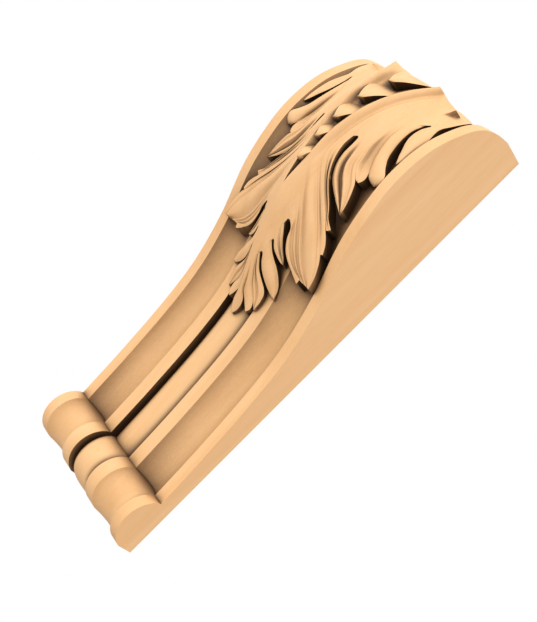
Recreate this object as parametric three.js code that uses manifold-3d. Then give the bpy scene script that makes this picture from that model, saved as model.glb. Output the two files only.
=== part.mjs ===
// Carved wooden scroll bracket: one solid with a fluted ogee face, a small roll at the
// foot and an acanthus leaf over the bulge. Millimetres. The flat back lies in the plane
// Y = 0, the front faces -Y, +Z is up, and the origin is the centre of the back.
import * as THREE from 'three';
import { mergeVertices } from 'three/addons/utils/BufferGeometryUtils.js';
import Module from 'manifold-3d';

const wasm = await Module();
wasm.setup();

// Overall sizes.
const height = 250;
const width = 90;
const bulgeDepth = 48.5;

// Cross section of the face, from the side edge to the middle.
const edgeFillet = 0.070 * width;
const coveWidth = 0.228 * width;
const innerFillet = 0.088 * width;
const coveDepth = 5.5;
const quirkDepth = 6;
const quirkDraft = 0.3;
const beadSetback = 0.6;
const coveSteps = 8;
const beadSteps = 10;

// Roll at the foot, cut off flat by the bottom end.
const rollRadius = 0.0552 * height;
const rollUp = 0.0532 * height;
const rollOut = 0.113 * bulgeDepth;
const rollSteps = 12;

// Side outline of the face above the roll: share of the height, share of the bulge depth.
const ogee = [
  [0.1064, 0.177], [0.228, 0.216], [0.360, 0.285], [0.460, 0.384], [0.560, 0.573],
  [0.660, 0.831], [0.748, 0.967], [0.812, 1.000], [0.880, 0.950], [0.940, 0.806],
  [0.974, 0.664], [0.992, 0.485], [1.000, 0.320],
];
const faceSteps = 30;
const shoulderSteps = 5;

// The leaf stays fuller than the face where the face turns down at the top.
const leafTurn = 0.952;
const leafFall = 0.75;
const footDepth = 2;

// Height of the face at a station, as a smooth curve through the ogee stations.
function through(list, at) {
  let k = 0;
  while (k < list.length - 2 && at > list[k + 1][0]) k += 1;
  const slope = (i) => {
    const a = list[Math.max(i - 1, 0)];
    const b = list[Math.min(i + 1, list.length - 1)];
    return (b[1] - a[1]) / (b[0] - a[0]);
  };
  const [x0, y0] = list[k];
  const [x1, y1] = list[k + 1];
  const span = x1 - x0;
  const t = THREE.MathUtils.clamp((at - x0) / span, 0, 1);
  const a = 2 * t ** 3 - 3 * t ** 2 + 1;
  const b = t ** 3 - 2 * t ** 2 + t;
  return a * y0 + b * span * slope(k) + (1 - a) * y1 + (t ** 3 - t ** 2) * span * slope(k + 1);
}

function faceOut(up) {
  const across = rollRadius ** 2 - (up - rollUp) ** 2;
  const foot = ogee[0][0] * height;
  if (up <= foot) return rollOut + Math.sqrt(Math.max(across, 0));
  return bulgeDepth * through(ogee, up / height);
}

function leafOut(up) {
  const turn = leafTurn * height;
  if (up <= turn) return faceOut(up);
  return faceOut(turn) - leafFall * (up - turn);
}

// Closed solid over a grid of (side, up, out) points: the carved front, straight walls
// round the rim and a flat back at the given depth.
function slab(rows, cols, front, depth) {
  const points = [];
  const faces = [];
  const put = ([side, up, out]) => points.push(side, -out, up - height / 2) / 3 - 1;
  const quad = (a, b, c, d) => faces.push(a, b, c, a, c, d);
  for (let i = 0; i < rows; i += 1) {
    for (let j = 0; j < cols; j += 1) put(front(i, j));
  }
  for (let i = 0; i < rows - 1; i += 1) {
    for (let j = 0; j < cols - 1; j += 1) {
      const k = i * cols + j;
      quad(k, k + cols, k + cols + 1, k + 1);
    }
  }
  const under = new Map();
  const below = (i, j) => {
    const k = i * cols + j;
    if (!under.has(k)) under.set(k, put([...front(i, j).slice(0, 2), depth]));
    return under.get(k);
  };
  const wall = (i, j, nextI, nextJ) => {
    quad(i * cols + j, nextI * cols + nextJ, below(nextI, nextJ), below(i, j));
  };
  const last = rows - 1;
  const end = cols - 1;
  for (let j = 0; j < end; j += 1) {
    wall(0, j, 0, j + 1);
    wall(last, j + 1, last, j);
    faces.push(below(0, j), below(0, j + 1), below(1, 0));
    faces.push(below(last, j + 1), below(last, j), below(last - 1, end));
  }
  for (let i = 0; i < last; i += 1) {
    wall(i, end, i + 1, end);
    wall(i + 1, 0, i, 0);
    if (i === 0) faces.push(below(0, end), below(1, end), below(1, 0));
    else if (i === last - 1) faces.push(below(i, 0), below(i, end), below(last, 0));
    else quad(below(i, 0), below(i, end), below(i + 1, end), below(i + 1, 0));
  }
  const geometry = new THREE.BufferGeometry();
  geometry.setAttribute('position', new THREE.Float32BufferAttribute(points, 3));
  geometry.setIndex(faces);
  return geometry;
}

function solid(geometry) {
  const clean = mergeVertices(geometry, 1e-4);
  return new wasm.Manifold(new wasm.Mesh({
    numProp: 3,
    vertProperties: Float32Array.from(clean.attributes.position.array),
    triVerts: Uint32Array.from(clean.index.array),
  }));
}

// Section of the face as [side, depth below the fillets] from the right edge to the left.
function sectionPoints() {
  const half = [[width / 2, 0], [width / 2 - edgeFillet, 0]];
  const radius = (coveWidth ** 2 / 4 + coveDepth ** 2) / (2 * coveDepth);
  const swing = Math.asin(coveWidth / 2 / radius);
  const coveMiddle = width / 2 - edgeFillet - coveWidth / 2;
  for (let k = 1; k < coveSteps; k += 1) {
    const angle = swing * (1 - 2 * k / coveSteps);
    half.push([coveMiddle + radius * Math.sin(angle), radius * Math.cos(angle) - radius + coveDepth]);
  }
  const recess = width / 2 - edgeFillet - coveWidth - innerFillet;
  half.push([recess + innerFillet, 0], [recess, 0]);
  const beadHalf = recess - quirkDraft;
  for (let k = 0; k < beadSteps / 2; k += 1) {
    const angle = Math.PI * k / beadSteps;
    const drop = (quirkDepth - beadSetback) * (1 - Math.sin(angle));
    half.push([beadHalf * Math.cos(angle), beadSetback + drop]);
  }
  const middle = [[0, beadSetback]];
  const mirrored = half.map(([side, depth]) => [-side, depth]).reverse();
  return [...half, ...middle, ...mirrored];
}

function stations() {
  const foot = ogee[0][0] * height;
  const start = Math.asin(-rollUp / rollRadius);
  const end = Math.asin((foot - rollUp) / rollRadius);
  const list = [];
  for (let k = 0; k <= rollSteps; k += 1) {
    list.push(rollUp + rollRadius * Math.sin(start + (end - start) * k / rollSteps));
  }
  list[0] = 0;
  list[rollSteps] = foot;
  const shoulder = ogee[ogee.length - 3][0] * height;
  for (let k = 0; k <= faceSteps; k += 1) list.push(foot + 0.02 + (shoulder - foot) * k / faceSteps);
  for (let k = 1; k <= shoulderSteps; k += 1) {
    list.push(shoulder + (height - shoulder) * Math.sin(Math.PI / 2 * k / shoulderSteps));
  }
  return list;
}

const section = sectionPoints();
const ups = stations();
const body = solid(slab(
  ups.length,
  section.length,
  (i, j) => [section[j][0], ups[i], faceOut(ups[i]) - section[j][1]],
  0,
));

// Leaf of one half. Places are [share of the height, share of the half width]. The sheet
// under the rib runs from the top end down to these knees, from the rim to the rib.
const knees = {
  rim: [0.955, 0.835], slotA: [0.916, 0.650], creaseB: [0.870, 0.545], creaseC: [0.832, 0.460],
  slotC: [0.816, 0.275], stepD: [0.800, 0.205], rightD: [0.780, 0.140], rib: [0.750, 0.075],
  leftD: [0.628, 0.207], leftE: [0.606, 0.150], slotF: [0.556, 0.165], notchG: [0.548, 0.090],
  notchH: [0.530, 0.035], middle: [0.530, 0.000],
};
const crown = {
  rim: [0.969, 0.845], slotA: [0.972, 0.640], creaseB: [0.976, 0.530], creaseC: [0.978, 0.490],
  slotC: [0.980, 0.450], stepD: [0.983, 0.420], rightD: [0.985, 0.395], rib: [0.987, 0.365],
};
const tail = {
  leftD: [0.730, 0.100], leftE: [0.740, 0.080], slotF: [0.745, 0.060], notchG: [0.750, 0.040],
  notchH: [0.755, 0.020], middle: [0.760, -0.010],
};

// Lobes between two edges. An edge runs from its knee through the places listed after it
// and bow bends the first stretch outwards. Also the rise of the tip over the face at its
// left and right, the flutes and their depth, which of the sides stand open, and the share
// of the length over which the end is rounded.
const lobes = [
  { left: ['slotA', 3.0, [0.821, 0.806]], right: ['rim', 1.0, [0.821, 0.806]],
    tip: [-0.7, -0.7], flutes: 1, depth: 0.8, open: [1, 0], round: 0 },
  { left: ['creaseB', 3.0, [0.771, 0.740]], right: ['slotA', 2.6, [0.786, 0.850]],
    tip: [-0.2, -0.2], flutes: 1, depth: 1.6, open: [0, 1], round: 0.35 },
  { left: ['creaseC', 2.4, [0.754, 0.600]], right: ['creaseB', 1.3, [0.758, 0.640]],
    tip: [-0.2, -0.2], flutes: 1, depth: 1.2, open: [0, 0], round: 0.25 },
  { left: ['slotC', 4.0, [0.693, 0.693]], right: ['creaseC', 1.1, [0.693, 0.693]],
    tip: [0.2, 0.2], flutes: 2, depth: 1.4, open: [1, 0], round: 0 },
  { left: ['stepD', 3.2, [0.658, 0.664]], right: ['slotC', 3.4, [0.664, 0.695]],
    tip: [1.6, 1.3], flutes: 1, depth: 0.5, open: [0, 1], round: 0 },
  { left: ['rightD', 2.6, [0.622, 0.747]], right: ['stepD', 3.2, [0.658, 0.664], [0.627, 0.775]],
    tip: [2.6, 1.8], flutes: 1, depth: 0.7, open: [0, 0], round: 0 },
  { left: ['rib', 1.9, [0.573, 0.680]], right: ['rightD', 2.6, [0.622, 0.747], [0.563, 0.847]],
    tip: [2.4, 4.4], flutes: 1, depth: 1.0, open: [0, 0], round: 0 },
  { left: ['leftD', 2.2, [0.558, 0.613]], right: ['rib', 1.9, [0.573, 0.680]],
    tip: [2.0, 2.4], flutes: 2, depth: 0.9, open: [1, 0], round: 0 },
  { left: ['leftE', 1.6, [0.566, 0.333]], right: ['leftD', 0.9, [0.566, 0.333]],
    tip: [2.6, 2.6], flutes: 1, depth: -0.4, open: [0, 1], round: 0 },
  { left: ['slotF', 2.2, [0.507, 0.429]], right: ['leftE', 0.8, [0.507, 0.429]],
    tip: [1.2, 1.2], flutes: 1, depth: -0.5, open: [1, 0], round: 0 },
  { left: ['notchG', 1.2, [0.478, 0.225]], right: ['slotF', 0.8, [0.472, 0.251]],
    tip: [1.0, 1.0], flutes: 1, depth: 1.0, open: [0, 1], round: 0 },
  { left: ['notchH', 1.2, [0.470, 0.120]], right: ['notchG', 1.2, [0.478, 0.225], [0.455, 0.180]],
    tip: [1.0, 1.0], flutes: 1, depth: 1.0, open: [0, 0], round: 0 },
  { left: ['middle', 1.0, [0.438, 0.000]], right: ['notchH', 1.2, [0.470, 0.120], [0.438, 0.030]],
    tip: [0.8, 0.8], flutes: 1, depth: 0.6, open: [0, 0], round: 0 },
];
const lobeRows = 10;
const slotHalf = 0.45;
const lap = 0.35;
const rootLap = 0.012;

// Ribs: distance of the crest from the middle, its rise over the leaf line, and the end of
// the channel between the two ribs.
const ribTop = 0.385 * width / 2;
const channelEnd = 0.668 * height;
const ribRise = [9, 3, 12];
const leafReach = 0.755 * width / 2;

function ribSide(up) {
  const share = Math.max(up - channelEnd, 0) / (height - channelEnd);
  return ribTop * share ** 1.8;
}

function ribHeight(up) {
  return Math.min(ribRise[0] + ribRise[1] * ((up / height - 0.856) / 0.136) ** 2, ribRise[2]);
}

// Rise of the whole leaf over the leaf line: full at the rib and falling away outwards.
function leafRise(side, up) {
  const share = (side - ribSide(up)) / (leafReach - ribSide(up));
  if (share < 0) return ribHeight(up) + 0.35 * (side - ribSide(up));
  return ribHeight(up) * Math.max(1 - share, 0) ** 1.9;
}

// Solid of one half of the leaf, standing on a foot inside the body. The columns of place
// run outwards and its points are [side, up, rise over the leaf line].
function leafSolid(rows, cols, place, mirror) {
  return solid(slab(rows, cols, (i, j) => {
    const [side, up, rise] = place(i, mirror > 0 ? j : cols - 1 - j);
    return [mirror * side, up, leafOut(Math.min(up, height)) + rise];
  }, footDepth));
}

// A sheet from its upper places down to the knees, one column of points for each knee.
function sheet(uppers, mirror, rows) {
  const names = Object.keys(uppers).reverse();
  return leafSolid(rows, names.length, (i, j) => {
    const [low, lowSide] = knees[names[j]];
    const [high, highSide] = uppers[names[j]];
    const t = i / (rows - 1);
    const up = (high + (low - high) * t) * height;
    const onRib = j === 0 && uppers === crown;
    const side = onRib ? ribSide(up) : (highSide + (lowSide - highSide) * t) * width / 2;
    return [side, up, leafRise(side, up)];
  }, mirror);
}

function leafLobe(lobe, mirror) {
  const cols = 3 * lobe.flutes + (lobe.flutes > 1 ? 1 : 2);
  const edge = ([name, bow, via, end], s) => {
    const [up, side] = knees[name];
    const turn = end ? 0.6 : 1;
    const first = Math.min(s / turn, 1);
    const bent = side + (via[1] - side) * Math.max(first, 0) ** bow;
    if (!end || s < turn) return [bent, up + (via[0] - up) * first];
    const rest = (s - turn) / (1 - turn);
    return [via[1] + (end[1] - via[1]) * rest, via[0] + (end[0] - via[0]) * rest];
  };
  const at = (i, j) => {
    const t = i / (lobeRows - 1);
    const s = -rootLap / 0.1 * (1 - t) + t;
    const past = Math.max(s, 0);
    const [sideL, upL] = edge(lobe.left, s);
    const [sideR, upR] = edge(lobe.right, s);
    const gap = slotHalf * Math.min(Math.sqrt(past / 0.05), 1);
    const near = Math.max(t - 1 + lobe.round, 0) / Math.max(lobe.round, 0.01);
    const shut = Math.sqrt(Math.max(1 - near ** 2, 0.01));
    const v = j / (cols - 1);
    const w = 0.5 + (v - 0.5) * shut;
    const from = sideL * width / 2 + (lobe.open[0] ? gap : -lap);
    const to = sideR * width / 2 + (lobe.open[1] ? -gap : lap);
    const side = from + Math.max(to - from, 0.12) * w;
    const up = (upL + (upR - upL) * w) * height;
    const base = leafRise(side, up) - 0.3 * (1 - Math.min(past * 5, 1));
    const rise = base + (lobe.tip[0] + (lobe.tip[1] - lobe.tip[0]) * v - base) * past ** 1.8;
    const fade = THREE.MathUtils.smoothstep(t, 0.1, 0.7);
    const wave = -lobe.depth * fade * (1 + Math.cos(2 * Math.PI * lobe.flutes * v)) / 2;
    return [side, up, rise + wave];
  };
  return leafSolid(lobeRows, cols, at, mirror);
}

// Inner slope of a rib, from its crest down to the husks.
function ribSlope(mirror) {
  const rows = 12;
  const cols = 3;
  return leafSolid(rows, cols, (i, j) => {
    const up = crown.rib[0] * height + (channelEnd - 8 - crown.rib[0] * height) * i / (rows - 1);
    const share = j / (cols - 1);
    const side = ribSide(up) * (0.4 + 0.6 * share) + share * 1.2 - 0.1;
    return [side, up, leafRise(side, up) - 0.05];
  }, mirror);
}

// Husks: overlapping pointed scales down the middle channel, each rising to its tip.
const huskTips = [0.932, 0.870, 0.812, 0.766, 0.718];
const huskLength = 0.085 * height;
const huskLift = 2.4;
const huskDip = 3.5;
function husk(share) {
  const rows = 6;
  const cols = 5;
  return leafSolid(rows, cols, (i, j) => {
    const t = i / (rows - 1);
    const up = Math.min(share * height + huskLength * (1 - t), crown.rib[0] * height - t);
    const v = 2 * j / (cols - 1) - 1;
    const half = (ribSide(up) + 1.0) * Math.sqrt(Math.max(1 - t ** 2, 0.002));
    const rise = ribHeight(up) - huskDip * (1 - t) + huskLift * t - 1.6 * v * v * (1 - t);
    return [v * half, up, rise];
  }, 1);
}

let carved = body;
for (const mirror of [1, -1]) {
  carved = carved.add(sheet(crown, mirror, 9));
  carved = carved.add(sheet(tail, mirror, 6));
  carved = carved.add(ribSlope(mirror));
  for (const lobe of lobes) carved = carved.add(leafLobe(lobe, mirror));
}
for (const share of huskTips) carved = carved.add(husk(share));

function meshOf(name, manifold) {
  const data = manifold.getMesh();
  const geometry = new THREE.BufferGeometry();
  geometry.setAttribute('position', new THREE.BufferAttribute(data.vertProperties, 3));
  geometry.setIndex(new THREE.BufferAttribute(data.triVerts, 1));
  geometry.computeVertexNormals();
  const material = new THREE.MeshStandardMaterial({ color: '#e9bd8c', roughness: 0.6, metalness: 0 });
  material.name = 'carved_wood';
  const mesh = new THREE.Mesh(geometry, material);
  mesh.name = name;
  return mesh;
}

const bracket = new THREE.Group();
bracket.name = 'carved_bracket_assembly';
bracket.add(meshOf('carved_bracket', carved));

export default bracket;
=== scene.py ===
import math

import bpy
import numpy as np
from mathutils import Matrix, Vector


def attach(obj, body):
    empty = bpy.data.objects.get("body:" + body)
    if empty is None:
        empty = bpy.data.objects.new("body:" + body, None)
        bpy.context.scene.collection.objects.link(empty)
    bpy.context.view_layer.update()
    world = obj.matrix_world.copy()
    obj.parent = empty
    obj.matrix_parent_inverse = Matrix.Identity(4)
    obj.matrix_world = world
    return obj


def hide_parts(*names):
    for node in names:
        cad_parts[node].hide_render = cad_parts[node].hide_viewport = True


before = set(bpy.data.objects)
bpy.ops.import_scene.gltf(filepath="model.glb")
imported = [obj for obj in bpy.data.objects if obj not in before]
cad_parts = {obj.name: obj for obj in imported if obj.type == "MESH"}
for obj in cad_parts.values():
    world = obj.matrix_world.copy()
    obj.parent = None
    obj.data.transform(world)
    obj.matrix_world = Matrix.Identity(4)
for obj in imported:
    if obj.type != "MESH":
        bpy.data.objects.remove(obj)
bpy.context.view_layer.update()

mmPerMetre = 1000
sharpAngle = 38.0  # degrees; faces that turn by more than this meet in a crisp edge

block = {
    "height": 250.0,
    "width": 90.0,
    "bulgeDepth": 48.5,
    "rollRadius": 13.8,
    "rollUp": 13.3,
    "rollOut": 5.5,
    "foot": 26.6,  # where the roll meets the face
    "shoulder": 0.974,  # share of the height from which rows crowd towards the top end
    "seam": 0.02,  # from the roll's last row up to the face's first
    "rollRows": 36,
    "faceRows": 110,
    "endRows": 12,
}


# Smooth curve through (at, value) pairs: a cubic between neighbours whose slope at each
# pair is the slope between the pairs on either side of it.
def smoothThrough(pairs, at):
    xs, ys = np.asarray(pairs, float).T
    slopes = np.gradient(ys, xs)
    slopes[1:-1] = (ys[2:] - ys[:-2]) / (xs[2:] - xs[:-2])
    at = np.clip(at, xs[0], xs[-1])
    k = np.clip(np.searchsorted(xs, at, side="right") - 1, 0, len(xs) - 2)
    span = xs[k + 1] - xs[k]
    t = (at - xs[k]) / span
    near = 2 * t**3 - 3 * t**2 + 1
    nearSlope = t**3 - 2 * t**2 + t
    farSlope = t**3 - t**2
    value = near * ys[k] + nearSlope * span * slopes[k]
    return value + (1 - near) * ys[k + 1] + farSlope * span * slopes[k + 1]


# From 0 at low to 1 at high, level at both ends: three times the share of the way squared,
# less twice its cube.
def smoothStep(at, low, high):
    t = np.clip((at - low) / (high - low), 0, 1)
    return t * t * (3 - 2 * t)


# Side outline of the face above the roll: share of the height, share of the bulge depth.
ogee = [
    (0.1064, 0.177), (0.228, 0.216), (0.360, 0.285), (0.460, 0.384), (0.560, 0.573),
    (0.660, 0.831), (0.748, 0.967), (0.812, 1.000), (0.880, 0.950), (0.940, 0.806),
    (0.974, 0.664), (0.992, 0.485), (1.000, 0.320),
]


# Face height: the ogee above the foot, and below it the circle of the roll.
def faceOut(up):
    circle = block["rollRadius"] ** 2 - (up - block["rollUp"]) ** 2
    roll = block["rollOut"] + np.sqrt(np.maximum(circle, 0))
    face = block["bulgeDepth"] * smoothThrough(ogee, up / block["height"])
    return np.where(up <= block["foot"], roll, face)


# Mesh points, still in mm, from arrays of side, up and out.
def meshPoints(side, up, out):
    return np.stack([side, -out, up - block["height"] / 2], axis=-1).reshape(-1, 3)


# The same points laid flat at the given depth from the wall.
def flatBack(points, depth):
    back = points.copy()
    back[:, 1] = -depth
    return back


# Quads between neighbours in a grid of point numbers, wound to face outwards.
def gridQuads(grid):
    corners = [grid[:-1, :-1], grid[1:, :-1], grid[1:, 1:], grid[:-1, 1:]]
    return np.stack(corners, axis=-1).reshape(-1, 4)


# Collects closed shells into one mesh.
class Carving:
    def __init__(self):
        self.points = []
        self.faces = []
        self.count = 0

    # Closed shell over a grid of (side, up, out) points: the front, straight walls round
    # its rim and a flat back at the given depth, in strips from edge to edge.
    def shell(self, side, up, out, depth):
        rows, cols = side.shape
        front = meshPoints(side, up, out)
        grid = np.arange(rows * cols).reshape(rows, cols)
        rim = np.concatenate([grid[0, :-1], grid[:-1, -1], grid[-1, :0:-1], grid[:0:-1, 0]])
        low = rows * cols + np.arange(len(rim))
        walls = np.stack([rim, np.roll(rim, -1), np.roll(low, -1), low], axis=-1)
        right = low[cols - 1:cols - 1 + rows]
        left = np.concatenate([low[:1], low[:-rows:-1]])
        across = np.stack([left[1:-2], right[1:-2], right[2:-1], left[2:-1]], axis=-1)
        first = [left[1], *low[:cols], right[1]]
        last = [left[-2], right[-2], *low[cols + rows - 2:2 * cols + rows - 2]]
        quads = np.concatenate([gridQuads(grid), walls, across]) + self.count
        self.faces += quads.tolist()
        self.faces += [(np.array(face) + self.count).tolist() for face in (first, last)]
        self.points.append(np.concatenate([front, flatBack(front[rim], depth)]))
        self.count += rows * cols + len(rim)

    # One closed shell from several (side, up, out) grids that meet along shared lines. The
    # grids are welded where their points fall together to a thousandth of a mm, walls stand
    # only on the edges that no other grid shares, and each grid has its own flat back.
    def weld(self, grids, depth):
        plan, heights, tops, backs = [], [], [], []
        start = 0
        for side, up, out in grids:
            grid = start + np.arange(side.size).reshape(side.shape)
            plan.append(np.stack([side, up], axis=-1).reshape(-1, 2))
            heights.append(out.reshape(-1))
            tops.append(gridQuads(grid))
            left, right = grid[1:-1, 0], grid[1:-1, -1]
            backs += np.stack([left[:-1], right[:-1], right[1:], left[1:]], axis=-1).tolist()
            backs += [[left[0], *grid[0], right[0]], [left[-1], right[-1], *grid[-1, ::-1]]]
            start += side.size
        plan, heights, tops = np.concatenate(plan), np.concatenate(heights), np.concatenate(tops)
        rounded = np.round(plan, decimals=3)
        _, first, same = np.unique(rounded, axis=0, return_index=True, return_inverse=True)
        same = same.reshape(-1)
        plan, heights, tops = plan[first], heights[first], same[tops]
        size = len(plan)
        ahead = np.concatenate([tops[:, [k, (k + 1) % 4]] for k in range(4)])
        begin, end = ahead[ahead[:, 0] != ahead[:, 1]].T
        alone = ~np.isin(begin * size + end, end * size + begin)
        begin, end = begin[alone], end[alone]
        walls = np.stack([begin + size, end + size, end, begin], axis=-1)
        backs = [(same[face] + size).tolist() for face in backs]
        # a face whose corners were welded together loses them, or goes
        faces = [list(dict.fromkeys(face)) for face in [*tops.tolist(), *walls.tolist(), *backs]]
        faces = [face for face in faces if len(face) > 2]
        used = np.unique(np.concatenate(faces))
        number = np.full(2 * size, -1)
        number[used] = np.arange(len(used)) + self.count
        self.faces += [number[face].tolist() for face in faces]
        front = meshPoints(plan[:, 0], plan[:, 1], heights)
        self.points.append(np.concatenate([front, flatBack(front, depth)])[used])
        self.count += len(used)

    # All that was collected as one mesh in metres, smooth but for its crisp edges.
    def mesh(self, name):
        made = bpy.data.meshes.new(name)
        points = np.concatenate(self.points) / mmPerMetre
        made.from_pydata(points.tolist(), [], self.faces)
        made.validate()
        made.update()
        made.polygons.foreach_set("use_smooth", np.ones(len(made.polygons), bool))
        made.set_sharp_from_angle(angle=math.radians(sharpAngle))
        return made


section = {
    "edgeFillet": 6.3,
    "coveWidth": 20.5,
    "innerFillet": 7.9,
    "coveDepth": 5.5,
    "quirkDepth": 6.0,
    "quirkDraft": 0.3,
    "beadSetback": 0.6,
    "innerPoints": (0.0, 2.5, 5.0),  # on the inner fillet, from the quirk outwards
    "edgePoints": (3.0, 0.0),  # on the edge fillet, from the edge inwards
    "coveSteps": 26,
    "beadSteps": 28,
}


# Section of the face from the middle to an edge as side and depth: half a round bead, a
# quirk wall, a fillet, a cove that is an arc of a circle, and the edge fillet.
def halfSection():
    half = block["width"] / 2
    cove, drop = section["coveWidth"], section["coveDepth"]
    recess = half - section["edgeFillet"] - cove - section["innerFillet"]
    bead = recess - section["quirkDraft"]
    turn = np.linspace(np.pi / 2, 0, section["beadSteps"])
    beadRise = section["quirkDepth"] - section["beadSetback"]
    beadDrop = section["beadSetback"] + beadRise * (1 - np.sin(turn))
    radius = (cove**2 / 4 + drop**2) / (2 * drop)
    swing = math.asin(cove / 2 / radius)
    angle = np.linspace(-swing, swing, section["coveSteps"])
    middle = half - section["edgeFillet"] - cove / 2
    inner = recess + np.array(section["innerPoints"])
    outer = half - np.array(section["edgePoints"])
    side = [bead * np.cos(turn), inner, middle + radius * np.sin(angle), outer]
    depth = [beadDrop, 0 * inner, radius * np.cos(angle) - radius + drop, 0 * outer]
    return np.concatenate(side), np.concatenate(depth)


# Block: the section laid on the face at each row, the whole way up. Rows turn evenly round
# the roll, are even up the face, and close up towards the top end as a sine.
def carveBlock(carving):
    side, depth = halfSection()
    side = np.concatenate([-side[:0:-1], side])[::-1]
    depth = np.concatenate([depth[:0:-1], depth])[::-1]
    start = math.asin(-block["rollUp"] / block["rollRadius"])
    end = math.asin((block["foot"] - block["rollUp"]) / block["rollRadius"])
    angle = np.linspace(start, end, block["rollRows"])
    roll = block["rollUp"] + block["rollRadius"] * np.sin(angle)
    roll[0] = 0
    roll[-1] = block["foot"]
    shoulder = block["shoulder"] * block["height"]
    face = np.linspace(block["foot"] + block["seam"], shoulder, block["faceRows"])
    turn = np.linspace(0, np.pi / 2, block["endRows"])[1:]
    close = shoulder + (block["height"] - shoulder) * np.sin(turn)
    up, sideGrid = np.meshgrid(np.concatenate([roll, face, close]), side, indexing="ij")
    carving.shell(sideGrid, up, faceOut(up) - depth[None, :], 0.0)


leaf = {
    "foot": 2.0,  # how far from the wall the leaf's walls start, inside the block
    "topTurn": 0.952,  # share of the height above which the leaf line leaves the face
    "topFall": 0.75,  # and how much it then goes in for each mm up
    "reach": 34.0,  # where the leaf is down to the fillets
    "fall": 1.9,  # how hollow the leaf is from rib to rim
    "crestRound": 1.3,
    "crestRoll": 0.9,
    "rollWidth": 1.9,
    "rollGrows": (176.0, 200.0),  # up, over which the roll and its groove grow in
    "groovePlace": 3.4,  # from the crest
    "grooveWidth": 1.1,
    "innerGroove": 0.5,
    "outerGroove": 0.8,
    "endStep": 4.8,  # how far the outer part steps down towards the top end
    "stepUp": (236.5, 244.0),  # up, over which the step grows
    "stepSide": (26.7, 27.2),  # side, over which it drops
    "stepGone": (31.0, 38.0),  # side, over which it runs out
    "slot": 0.12,  # half the width of a slot
    "slotEnd": 0.8,  # share of the way from knee to tip where a slot ends
    "eyelet": 0.5,  # radius at a knee
    "eyelets": {"slotA": 0.75, "slotC": 0.85, "leftD": 1.0, "leftE": 0.6, "slotF": 0.65},
    "eyeletReach": 7.0,  # radii over which an eyelet narrows to its slot
    "formFull": 0.5,  # share of the way from knee to tip where a cross section is full
    "flatFrom": 0.75,  # share of a lobe's length from which it flattens
    "flatBy": 0.7,
    "cornerFrom": 0.8,  # share of a lobe's length from which its end is cut back
    "cornerTip": 0.1,  # share of the width that keeps its tip
    "endTurn": 1.8,  # how far a rounded end turns down
    "kneeShare": 0.4,  # where the knee lies between sheet and tip
    "sheetRows": 24,
    "crownRows": 70,  # below the knees, the knee's own row among them
    "tailRows": 46,  # sheetRows and tailRows together are crownRows
    "rowPower": 1.4,  # rows go by this power of the way, so they lie closer at the knees
}

# Crest of a rib, from the end of the channel to the top end: up, side.
crest = [
    (167.6, 0.0), (178.7, 1.7), (189.9, 2.9), (199.7, 3.9), (208.2, 5.3), (216.2, 6.9),
    (224.1, 8.7), (231.4, 10.7), (240.5, 13.8), (247.5, 16.9),
]
# Rise of the spine and of the ribs over the leaf line: up, rise.
spine = [
    (109.3, 0.9), (118.0, 4.6), (125.0, 7.2), (131.0, 9.2), (140.0, 11.2), (150.0, 12.0),
    (167.0, 12.0), (180.0, 10.6), (190.0, 9.7), (200.0, 9.2), (213.0, 9.0), (224.0, 9.1),
    (240.0, 9.9), (247.5, 10.8),
]


# The leaf line follows the face, and goes straight on where the face turns in at the top.
def leafOut(up):
    turn = leaf["topTurn"] * block["height"]
    beyond = faceOut(turn) - leaf["topFall"] * (up - turn)
    return np.where(up <= turn, faceOut(np.minimum(up, turn)), beyond)


# Roll along a crest with a groove beside it: two bell curves of the distance from the crest,
# which grow in above the end of the channel.
def crestRoll(away, up, groove):
    roll = leaf["crestRoll"] * np.exp(-((away / leaf["rollWidth"]) ** 2))
    dip = groove * np.exp(-(((away - leaf["groovePlace"]) / leaf["grooveWidth"]) ** 2))
    return smoothStep(up, *leaf["rollGrows"]) * (roll - dip)


# Rise of the whole leaf over the leaf line: the spine's rise at the crest, falling away
# outwards as a power of the share of the way that is left to the rim, plus a low roll along
# the crest. Towards the top end the outer part steps down.
def leafRise(side, up):
    crestSide = smoothThrough(crest, up)
    soft = leaf["crestRound"]
    away = np.sqrt(np.maximum(side - crestSide, 0) ** 2 + soft**2) - soft
    share = away / (leaf["reach"] - crestSide - soft)
    rise = smoothThrough(spine, up) * np.maximum(1 - share, 0) ** leaf["fall"]
    roll = crestRoll(side - crestSide, up, leaf["outerGroove"])
    step = smoothStep(up, *leaf["stepUp"]) * leaf["endStep"] * smoothStep(side, *leaf["stepSide"])
    return rise + roll - step * (1 - smoothStep(side, *leaf["stepGone"]))


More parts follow.
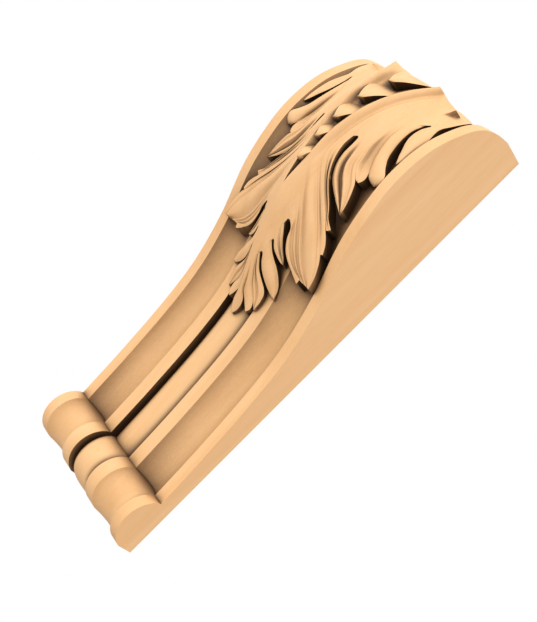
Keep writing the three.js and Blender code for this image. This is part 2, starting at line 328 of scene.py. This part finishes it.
# Lines of the leaf down to their knees, where slots and creases start: up, side.
sheetLines = {
    "rim": [(242.4, 38.4), (240.2, 37.7), (237.0, 37.1), (234.0, 36.3), (231.5, 35.2)],
    "slotA": [(243.2, 29.0), (236.0, 29.9), (229.2, 30.3)],
    "creaseB": [(244.2, 25.2), (232.0, 25.0), (219.0, 23.2)],
    "creaseC": [(244.6, 22.4), (228.0, 21.6), (210.0, 20.6)],
    "slotC": [(245.1, 20.6), (226.0, 16.4), (204.2, 13.2)],
    "stepD": [(245.7, 19.2), (224.0, 13.8), (200.0, 9.6)],
    "rightD": [(246.2, 17.9), (222.0, 11.2), (195.0, 6.9)],
    "rib": [(246.6, 16.5), (240.5, 13.8), (231.4, 10.7), (216.2, 6.9), (199.7, 4.0), (187.5, 2.7)],
    "leftD": [(183.5, 2.2), (170.0, 5.0), (157.4, 9.0)],
    "leftE": [(180.0, 1.8), (163.0, 3.9), (146.6, 6.5)],
    "slotF": [(177.0, 1.4), (158.0, 2.6), (139.2, 4.0)],
    "notchG": [(174.0, 1.0), (155.0, 1.7), (136.0, 2.6)],
    "notchH": [(171.0, 0.5), (152.0, 0.8), (133.0, 1.1)],
    "middle": [(167.6, 0.0), (150.0, 0.0), (133.0, 0.0)],
}
# Those outside the rib, which have the crown's rows.
crownLines = ("rim", "slotA", "creaseB", "creaseC", "slotC", "stepD", "rightD")

# Ways on from the knees to the tips that two lobes share.
slotCIn = [
    (199.0, 11.8), (194.7, 12.0), (190.4, 12.8), (186.2, 14.2), (182.4, 16.2), (178.6, 19.2),
    (173.4, 23.9), (169.0, 27.0), (165.9, 31.5),
]
slotCOut = [
    (199.4, 13.9), (194.7, 13.6), (190.0, 13.9), (186.1, 15.0), (183.0, 16.7), (180.2, 19.6),
    (177.0, 24.4), (173.2, 31.0),
]
stepIn = [(190.0, 9.7), (183.5, 13.0), (176.0, 19.0), (170.0, 24.3), (164.3, 29.2)]
stepOut = [*stepIn, (161.9, 31.7), (158.9, 33.8), (155.9, 34.8)]
ridgeIn = [(186.0, 8.6), (178.0, 14.0), (170.0, 21.0), (163.0, 27.6), (155.2, 33.6)]
ridgeOut = [*ridgeIn, (152.7, 35.4), (149.4, 36.8), (145.9, 37.8), (140.9, 38.0)]
valleyD = [
    (180.0, 4.9), (173.5, 8.4), (168.3, 11.2), (163.2, 14.3), (157.0, 18.0), (150.7, 21.8),
    (145.1, 27.2), (141.3, 34.4),
]
creaseIn = [(212.2, 23.4), (205.6, 24.6), (200.9, 26.1), (197.5, 27.6)]
creaseOut = [(203.0, 20.9), (197.7, 21.9), (194.5, 22.5), (192.0, 23.9), (189.4, 26.0)]
notchOut = [(130.5, 3.6), (125.6, 5.0), (122.8, 7.0), (120.9, 8.8)]

# Lobes: the left and right line with their way on from the knee (up, side) and the rise of
# knee, middle and tip over the leaf's own, which sides stand open, the cross section (share
# across, rise), its columns, and where it starts as a share of the way to the knee. "round"
# is the share of the length over which the end turns down, and "corner" how far it is cut
# back.
lobes = {
    "rimLobe": {
        "left": ("slotA", [(225.2, 29.7), (220.2, 29.8), (216.0, 30.9), (211.3, 33.3),
                           (207.3, 35.5), (205.0, 36.9)], (0, -0.1, -0.6)),
        "right": ("rim", [(229.1, 35.0), (226.0, 35.9), (223.3, 37.0), (219.9, 38.2),
                          (215.0, 38.5), (209.0, 38.3), (205.0, 37.4)], (0, -0.8, -0.6)),
        "open": (1, 0), "cols": 24, "starts": 0.6,
        "form": [(0, 0), (0.3, 0.6), (0.65, 0.5), (1, -0.6)],
    },
    "finger": {
        "left": ("creaseB", [*creaseIn, (195.3, 28.8), (194.0, 30.0), (192.9, 31.4),
                             (192.0, 33.2), (191.7, 35.4)], (0, -0.9, -0.3)),
        "right": ("slotA", [(225.7, 28.9), (221.0, 28.3), (215.6, 28.9), (210.2, 30.1),
                            (204.9, 31.9), (201.0, 34.7), (198.0, 37.6), (195.4, 38.6),
                            (193.2, 38.0), (191.7, 35.5)], (0, 0, -0.3)),
        "open": (0, 1), "cols": 32, "starts": 0.55, "round": 0.1,
        "form": [(0, 0), (0.12, 1.0), (0.35, 1.7), (0.65, 1.5), (0.88, 0.7), (1, 0)],
    },
    "hollow": {
        "left": ("creaseC", [*creaseOut, (188.6, 27.9)], (0, 0.3, 0.2)),
        "right": ("creaseB", [*creaseIn, (195.2, 28.9), (192.6, 29.8), (190.4, 29.5),
                              (188.5, 28.1)], (0, -0.9, -0.3)),
        "open": (0, 0), "cols": 24, "starts": 0.6,
        "form": [(0, 0), (0.1, 0.1), (0.45, -0.9), (0.8, -0.5), (1, 0)],
    },
    "middleLobe": {
        "left": ("slotC", slotCOut, (0, -0.2, 0.9)),
        "right": ("creaseC", [*creaseOut, (187.4, 27.7), (184.4, 29.0), (181.3, 30.0),
                              (176.8, 30.9), (173.2, 31.1)], (0, 0.3, 0.6)),
        "open": (1, 0), "cols": 44, "starts": 0.9,
        "form": [(0, 0), (0.14, 0.6), (0.24, 0.0), (0.32, -1.1), (0.4, -0.2), (0.54, 1.1),
                 (0.76, 0.0), (0.9, 0.5), (1, 0)],
    },
    "narrowStep": {
        "left": ("stepD", stepIn, (0, 0.6, 1.2)),
        "right": ("slotC", slotCIn, (0, 1.0, 1.2)),
        "open": (0, 1), "cols": 20, "starts": 1.1,
        "form": [(0, 0), (0.28, 0.5), (0.5, -0.4), (0.75, 0.5), (1, 0)],
    },
    "step": {
        "left": ("rightD", ridgeIn, (0, 0.6, 2.4)),
        "right": ("stepD", stepOut, (0, 0.6, 2.0)),
        "open": (0, 0), "cols": 12, "starts": 1.0,
        "form": [(0, 0), (0.5, 0.3), (1, 0)],
    },
    "longLobe": {
        "left": ("rib", valleyD, (0, -0.4, 1.6)),
        "right": ("rightD", ridgeOut, (0, 0.6, 4.3)),
        "open": (0, 0), "cols": 40, "starts": 1.0,
        "form": [(0, 0), (0.3, 1.8), (0.58, 1.3), (0.76, 0.2), (0.86, 0.5), (0.93, 0), (1, 0)],
    },
    "sideLobe": {
        "left": ("leftD", [(154.9, 11.7), (150.4, 12.8), (146.5, 14.7), (143.9, 17.7),
                           (141.7, 22.1), (139.4, 27.3)], (0, 1.0, 1.6)),
        "right": ("rib", valleyD, (0, -0.4, 1.6)),
        "open": (1, 0), "cols": 34, "starts": 0.7, "corner": 1.9,
        "form": [(0, 0), (0.16, 0.5), (0.36, -0.45), (0.52, 0.3), (0.7, -0.5), (0.84, 0.2),
                 (1, 0)],
    },
    "smallLeaf": {
        "left": ("leftE", [(143.9, 8.4), (142.5, 10.4), (141.4, 13.0), (141.2, 15.6)],
                 (0, -0.3, -0.4)),
        "right": ("leftD", [(154.0, 9.3), (150.3, 10.3), (147.0, 12.0), (144.0, 14.2),
                            (141.3, 15.8)], (0, -0.1, -0.4)),
        "open": (1, 1), "cols": 20, "starts": 0.6,
        "form": [(0, 0), (0.3, 0.5), (0.55, -0.4), (0.75, 0.4), (1, -0.2)],
    },
    "smoothLeaf": {
        "left": ("slotF", [(135.4, 5.7), (133.0, 7.2), (130.5, 10.1), (128.4, 14.1),
                           (127.2, 18.6)], (0, -0.4, -1.0)),
        "right": ("leftE", [(142.9, 7.9), (140.6, 10.2), (138.5, 13.1), (135.7, 15.9),
                            (132.4, 18.1), (127.2, 18.9)], (0, -0.4, -1.0)),
        "open": (1, 1), "cols": 22, "starts": 0.6,
        "form": [(0, -0.4), (0.35, 0.7), (0.7, 0.5), (1, -0.6)],
    },
    "outerPoint": {
        "left": ("notchG", [*notchOut, (117.6, 11.4)], (0, -1.2, -0.4)),
        "right": ("slotF", [(134.8, 4.9), (132.1, 6.4), (129.9, 9.0), (127.7, 11.9),
                            (125.5, 13.2), (122.0, 13.1), (117.5, 11.9)], (0, -0.4, -0.4)),
        "open": (0, 1), "cols": 24, "starts": 0.6,
        "form": [(0, 0), (0.2, 0.7), (0.42, -0.2), (0.62, 0.7), (1, -0.3)],
    },
    "innerPoint": {
        "left": ("notchH", [(127.0, 1.3), (123.4, 1.3), (120.8, 1.7), (118.6, 3.6),
                            (116.4, 5.5), (114.4, 7.4)], (0, -1.0, -0.4)),
        "right": ("notchG", [*notchOut, (116.8, 9.6), (114.2, 7.8)], (0, -1.2, -0.4)),
        "open": (0, 0), "cols": 18, "starts": 0.6,
        "form": [(0, 0), (0.5, 0.8), (1, 0)],
    },
    "middlePoint": {
        "left": ("middle", [(125.0, 0.0), (117.0, 0.0), (109.3, 0.0)], (0, 0, 0)),
        "right": ("notchH", [(127.0, 1.3), (123.4, 1.3), (120.8, 1.6), (118.0, 2.9),
                             (114.9, 3.3), (111.8, 2.2), (109.4, 0.3)], (0, -1.0, 0)),
        "open": (0, 0), "cols": 16, "starts": 0.6,
        "form": [(0, 0), (0.5, 0.5), (1, 0)],
    },
}


# Points of a path at shares of its length, and how far along they lie: a smooth curve
# through the given places by chord length.
def along(places, share):
    places = np.asarray(places, float)
    chord = np.concatenate([[0], np.cumsum(np.hypot(*np.diff(places, axis=0).T))])
    at = share * chord[-1]
    cut = [smoothThrough(np.stack([chord, places[:, k]], axis=-1), at) for k in range(2)]
    return np.stack(cut, axis=-1), at


# One edge of a lobe: the sheet line down to the knee and then its own way to the tip. Past
# the knee an open side draws back, square to its way, by a round eyelet that narrows to half
# a slot and ends before the tip.
def edge(name, beyond, lift, share, openTo):
    knee = leaf["kneeShare"]
    line = sheetLines[name]
    way = np.clip((share - knee) / (1 - knee), 0, 1)
    head = along(line, np.clip(share / knee, 0, 1))[0]
    tail, gone = along([line[-1], *beyond], way)
    past = share > knee
    points = np.where(past[:, None], tail, head)
    gone = np.where(past, gone, 0)
    eye = leaf["eyelets"].get(name, leaf["eyelet"])
    rounding = np.sqrt(1 - (1 - np.minimum(gone / eye, 1)) ** 2)
    narrowing = 1 - smoothStep(gone, 0, leaf["eyeletReach"] * eye)
    gap = rounding * (leaf["slot"] + (eye - leaf["slot"]) * narrowing)
    ahead = np.gradient(tail, axis=0)
    length = np.hypot(ahead[:, :1], ahead[:, 1:])
    ahead /= np.where(length > 0, length, 1)
    across = np.stack([ahead[:, 1], -ahead[:, 0]], axis=-1)
    isOpen = gone < leaf["slotEnd"] * np.max(gone)
    points += (openTo * gap * isOpen)[:, None] * across
    return points, smoothThrough([(0, lift[0]), (0.5, lift[1]), (1, lift[2])], way)


# Lobe: rows run from the sheet to the tip and columns from the left edge to the right one.
# Height is the leaf's own rise, plus the lift of the two edges shared out across, plus the
# lobe's cross section, which fades in round the knee and flattens towards the tip. Where a
# lobe has a corner, its end is cut back by that much beside a narrow tip on the left.
def lobeGrid(name):
    lobe = lobes[name]
    knee = leaf["kneeShare"]
    above = np.linspace(0, knee, leaf["sheetRows"] + 1)[:-1]
    crown, tail = [knee + (1 - knee) * np.linspace(0, 1, leaf[rows]) ** leaf["rowPower"]
                   for rows in ("crownRows", "tailRows")]
    share = np.concatenate([above, crown if lobe["right"][0] in crownLines else tail])
    # the side lobe's right edge starts at the rib's knee and shares the long lobe's rows
    shareR = crown if name == "sideLobe" else share
    left, liftL = edge(*lobe["left"], share, lobe["open"][0])
    right, liftR = edge(*lobe["right"], shareR, -lobe["open"][1])
    v = np.linspace(0, 1, lobe["cols"])[None, :]
    up = left[:, :1] * (1 - v) + right[:, :1] * v
    side = left[:, 1:] * (1 - v) + right[:, 1:] * v
    cut = lobe.get("corner", 0) * smoothStep(share, leaf["cornerFrom"], 1.0)[:, None]
    up = up + cut * (1 - v) * (v > leaf["cornerTip"])
    fade = smoothStep(share, lobe["starts"] * knee, knee + leaf["formFull"] * (1 - knee))
    fade = fade * (1 - leaf["flatBy"] * smoothStep(share, leaf["flatFrom"], 1.0))
    rise = leafRise(side, up) + liftL[:, None] * (1 - v) + liftR[:, None] * v
    rise = rise + fade[:, None] * smoothThrough(lobe["form"], np.broadcast_to(v, side.shape))
    out = leafOut(up) + rise
    if "round" in lobe:
        out = out - leaf["endTurn"] * smoothStep(share, 1 - lobe["round"], 1.0)[:, None]
    return side, up, out


# The same grid on the other side of the middle plane.
def mirrored(side, up, out):
    return -side[:, ::-1], up[:, ::-1], out[:, ::-1]


# Both halves of the leaf in one shell.
def carveLeaf(carving):
    grids = [lobeGrid(name) for name in lobes]
    carving.weld(grids + [mirrored(*grid) for grid in grids], leaf["foot"])


ribSlope = {
    "top": 246.4,
    "bottom": 166.0,
    "slope": 0.46,  # mm down for each mm from the crest
    "steeper": 1.76,  # what is added where the channel closes
    "closing": (3.5, 1.0),  # side of the crest, over which it is added
    "rows": 70,
    "cols": 16,
}


# Inner slope of a rib, from the crest to the middle plane: the spine's rise, less the slope
# times the distance from the crest, plus the crest's roll and groove.
def carveRibSlope(carving):
    up = np.linspace(ribSlope["top"], ribSlope["bottom"], ribSlope["rows"])[:, None]
    v = np.linspace(0, 1, ribSlope["cols"])[None, :]
    crestSide = smoothThrough(crest, up)
    side = crestSide * v
    inside = crestSide - side
    wide, narrow = ribSlope["closing"]
    slope = ribSlope["slope"] + ribSlope["steeper"] * smoothStep(-crestSide, -wide, -narrow)
    roll = crestRoll(inside, up, leaf["innerGroove"])
    rise = smoothThrough(spine, up) - slope * inside + roll
    up = np.broadcast_to(up, side.shape)
    grid = side, up, leafOut(up) + rise
    carving.weld([grid, mirrored(*grid)], leaf["foot"])


husks = {
    "tips": [233.1, 217.5, 203.1, 191.6, 179.4],
    "lengths": [16.0, 17.5, 16.0, 13.5, 13.0],
    "spread": [2.4, 2.1, 1.9, 1.6, 1.1],
    "topEnd": 245.6,  # the first husk is cut off here
    "tipHalf": 0.02,
    "tipRound": 0.5,  # half width that the round of the tip comes to
    "widening": 0.34,  # half width for each mm from the tip at a spread of 1
    "overlap": 0.6,  # how far past the crests a husk may reach
    "lift": 2.7,
    "dip": 8.0,
    "dipPower": 1.9,
    "roof": 1.2,
    "roofPower": 1.3,
    "rows": 30,
    "cols": 25,
}


# Husk: a slender scale. Its half width grows evenly from a rounded tip, its middle line
# falls from the tip to the root as a power of the way, and its cross section is a low roof
# that fades towards the root.
def carveHusk(carving, tip, length, spread):
    away = np.linspace(1, 0, husks["rows"])[:, None]
    v = np.linspace(1, -1, husks["cols"])[None, :]
    up = np.minimum(tip + length * away, husks["topEnd"])
    blunt = husks["tipRound"] * (1 - np.exp(-length * away))
    half = blunt + husks["widening"] * spread * length * away + husks["tipHalf"]
    side = np.minimum(half, smoothThrough(crest, up) + husks["overlap"]) * v
    up = np.broadcast_to(up, side.shape)
    rise = smoothThrough(spine, up) + husks["lift"] - husks["dip"] * away ** husks["dipPower"]
    rise = rise - husks["roof"] * np.abs(v) ** husks["roofPower"] * (1 - away)
    carving.shell(side, up, leafOut(up) + rise, leaf["foot"])


carving = Carving()
carveBlock(carving)
print("block:", carving.count, "points")
carveLeaf(carving)
carveRibSlope(carving)
print("leaf:", carving.count, "points")
for tip, length, spread in zip(husks["tips"], husks["lengths"], husks["spread"]):
    carveHusk(carving, tip, length, spread)
print("husks:", carving.count, "points,", len(carving.faces), "faces")

bracket = bpy.data.objects.new("carved_bracket_visual", carving.mesh("carved_bracket_visual"))
bpy.context.scene.collection.objects.link(bracket)
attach(bracket, "root")
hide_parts("carved_bracket")


# Linear colour of an sRGB hex value.
def linear(hexColour):
    parts = [int(hexColour[k:k + 2], 16) / 255 for k in (1, 3, 5)]
    return (*[c / 12.92 if c <= 0.04045 else ((c + 0.055) / 1.055) ** 2.4 for c in parts], 1)


# Adds a node with its input values, settings and links from other nodes' outputs.
def addNode(tree, kind, values=None, links=None, **settings):
    node = tree.nodes.new(kind)
    for name, value in settings.items():
        setattr(node, name, value)
    for name, value in (values or {}).items():
        node.inputs[name].default_value = value
    for name, output in (links or {}).items():
        tree.links.new(output, node.inputs[name])
    return node


wood = {
    # painted shade: base colour at each share of openness (ambient occlusion), from shut in to
    # fully open
    "paintedShadeTones": [(0.38, "#37230F"), (0.54, "#62462A"), (0.65, "#846344"), (0.75, "#A27D56"),
              (0.85, "#D6A976"), (0.94, "#EFBF8A")],
    # painted shade: how far the ambient occlusion looks for what shuts a recess in
    "paintedShadeReach": 35.0,  # mm over which a recess darkens
    "figure": "#F7F0E7",  # tint of the darker growth bands
    "figureRange": (0.5, 0.9),  # noise at which the tint starts and is full
    "bandWidth": 11.0,  # mm from band to band
    "fibreWidth": 0.8,  # mm, a little coarser than real fibres so that they show
    "fibreShare": 0.35,  # how much the fibres count beside the bands
    "stretch": 14.0,  # how much longer than wide bands and fibres are
    "roughness": (0.52, 0.66),
    "specular": 0.3,
    "fibreDepth": 0.05,  # mm
    "fibreBump": 0.5,
}


# Lime wood, carved and sanded: pale peach-tan with faint long growth bands and fibres along the
# bracket, nearly matt. Its hollows get painted shade, because ambient occlusion darkens the colour
# to deep brown where little light reaches.
def limeWithPaintedShade():
    made = bpy.data.materials.new("lime_wood_painted_shade")
    made.use_nodes = True
    tree = made.node_tree
    shader = tree.nodes["Principled BSDF"]
    shader.inputs["Specular IOR Level"].default_value = wood["specular"]
    place = addNode(tree, "ShaderNodeTexCoord")
    grainWay = addNode(tree, "ShaderNodeMapping", {"Scale": (1, 1, 1 / wood["stretch"])},
                       {"Vector": place.outputs["Object"]})
    bands = addNode(tree, "ShaderNodeTexNoise",
                    {"Scale": mmPerMetre / wood["bandWidth"], "Detail": 3.0, "Distortion": 0.6},
                    {"Vector": grainWay.outputs[0]})
    fibres = addNode(tree, "ShaderNodeTexNoise",
                     {"Scale": mmPerMetre / wood["fibreWidth"], "Detail": 2.0},
                     {"Vector": grainWay.outputs[0]})
    # Painted shade: ambient occlusion within that reach picks the colour from the tones, so
    # recesses and walls that light hardly reaches turn deep brown.
    shadeOpenness = addNode(tree, "ShaderNodeAmbientOcclusion",
                       {"Distance": wood["paintedShadeReach"] / mmPerMetre}, samples=16)
    tone = addNode(tree, "ShaderNodeValToRGB", None, {"Fac": shadeOpenness.outputs["AO"]})
    stops = tone.color_ramp.elements
    for k, (share, colour) in enumerate(wood["paintedShadeTones"]):
        stop = stops[k] if k < 2 else stops.new(share)  # a new ramp has two
        stop.position = share
        stop.color = linear(colour)
    grain = addNode(tree, "ShaderNodeMath", {1: wood["fibreShare"]}, {0: fibres.outputs[0]},
                    operation="MULTIPLY")
    shade = addNode(tree, "ShaderNodeMath", None, {0: bands.outputs[0], 1: grain.outputs[0]},
                    operation="ADD")
    figureFrom, figureFull = wood["figureRange"]
    spread = addNode(tree, "ShaderNodeMapRange", {"From Min": figureFrom, "From Max": figureFull},
                     {"Value": shade.outputs[0]})
    tinted = addNode(tree, "ShaderNodeMix", {7: linear(wood["figure"])},
                     {0: spread.outputs[0], 6: tone.outputs["Color"]},
                     data_type="RGBA", blend_type="MULTIPLY")
    tree.links.new(tinted.outputs[2], shader.inputs["Base Color"])
    smooth, matt = wood["roughness"]
    rough = addNode(tree, "ShaderNodeMapRange", {"To Min": smooth, "To Max": matt},
                    {"Value": fibres.outputs[0]})
    tree.links.new(rough.outputs[0], shader.inputs["Roughness"])
    bump = addNode(tree, "ShaderNodeBump",
                   {"Strength": wood["fibreBump"], "Distance": wood["fibreDepth"] / mmPerMetre},
                   {"Height": fibres.outputs[0]})
    tree.links.new(bump.outputs[0], shader.inputs["Normal"])
    return made


bracket.data.materials.append(limeWithPaintedShade())
print("wood:", bracket.data.materials[0].name)

studio = {
    "floorDrop": 0.6,
    "floorReach": 6.0,
    "paper": "#A8A8A8",
    "paperRoughness": 0.9,
    "sky": 1.25,
    "white": 1.0,  # glow of what the camera sees as plain white
    # where each lamp stands, its strength and its softness in degrees
    "lamps": {
        "front_lamp": ((0.0, -1.0, 0.3), 1.0, 30),
    },
}

floorMesh = bpy.data.meshes.new("floor")
reach, low = studio["floorReach"], -studio["floorDrop"]
corners = [(-reach, -reach, low), (reach, -reach, low), (reach, reach, low), (-reach, reach, low)]
floorMesh.from_pydata(corners, [], [(0, 1, 2, 3)])
floor = bpy.data.objects.new("floor", floorMesh)
bpy.context.scene.collection.objects.link(floor)
# Studio paper: overexposed to plain white where it is seen, and pale grey in the light that
# it throws back on the bracket.
paper = bpy.data.materials.new("studio_paper")
paper.use_nodes = True
paperTree = paper.node_tree
paperShader = paperTree.nodes["Principled BSDF"]
paperShader.inputs["Base Color"].default_value = linear(studio["paper"])
paperShader.inputs["Roughness"].default_value = studio["paperRoughness"]
paperSeen = addNode(paperTree, "ShaderNodeLightPath")
paperGlow = addNode(paperTree, "ShaderNodeEmission", {"Strength": studio["white"]})
paperBoth = addNode(paperTree, "ShaderNodeMixShader", None,
                    {0: paperSeen.outputs["Is Camera Ray"], 1: paperShader.outputs[0],
                     2: paperGlow.outputs[0]})
paperTree.links.new(paperBoth.outputs[0], paperTree.nodes["Material Output"].inputs["Surface"])
floorMesh.materials.append(paper)

# Even sky for light, and plain white behind.
world = bpy.data.worlds.new("studio")
bpy.context.scene.world = world
world.use_nodes = True
skyTree = world.node_tree
seen = addNode(skyTree, "ShaderNodeLightPath")
sky = addNode(skyTree, "ShaderNodeBackground",
              {"Color": (1, 1, 1, 1), "Strength": studio["sky"]})
backdrop = addNode(skyTree, "ShaderNodeBackground",
                   {"Color": (1, 1, 1, 1), "Strength": studio["white"]})
both = addNode(skyTree, "ShaderNodeMixShader", None,
               {0: seen.outputs["Is Camera Ray"], 1: sky.outputs[0], 2: backdrop.outputs[0]})
skyTree.links.new(both.outputs[0], skyTree.nodes["World Output"].inputs["Surface"])

for name, (place, strength, softness) in studio["lamps"].items():
    lamp = bpy.data.objects.new(name, bpy.data.lights.new(name, "SUN"))
    lamp.data.energy = strength
    lamp.data.angle = math.radians(softness)
    lamp.rotation_euler = Vector(place).to_track_quat("Z", "Y").to_euler()
    bpy.context.scene.collection.objects.link(lamp)
bpy.context.scene.view_settings.view_transform = "Standard"
print("studio: floor, sky and", len(studio["lamps"]), "lamp")

# Where the photograph was taken from, in metres, and which way its right, down and forward
# point.
view = {
    "place": (0.3626, -0.3744, -0.0049),
    "right": (0.50890, 0.49083, 0.70718),
    "down": (0.50520, 0.49487, -0.70702),
    "forward": (-0.69699, 0.71707, 0.00387),
    "lens": 62.37,  # mm
    "sensorWidth": 36,  # mm
}
cameraData = bpy.data.cameras.new("photo_view")
cameraData.lens = view["lens"]
cameraData.sensor_width = view["sensorWidth"]
camera = bpy.data.objects.new("photo_view", cameraData)
bpy.context.scene.collection.objects.link(camera)
axes = Matrix([view["right"], [-d for d in view["down"]], [-f for f in view["forward"]]])
camera.matrix_world = Matrix.Translation(view["place"]) @ axes.transposed().to_4x4()
bpy.context.scene.camera = camera
print("camera:", camera.name)
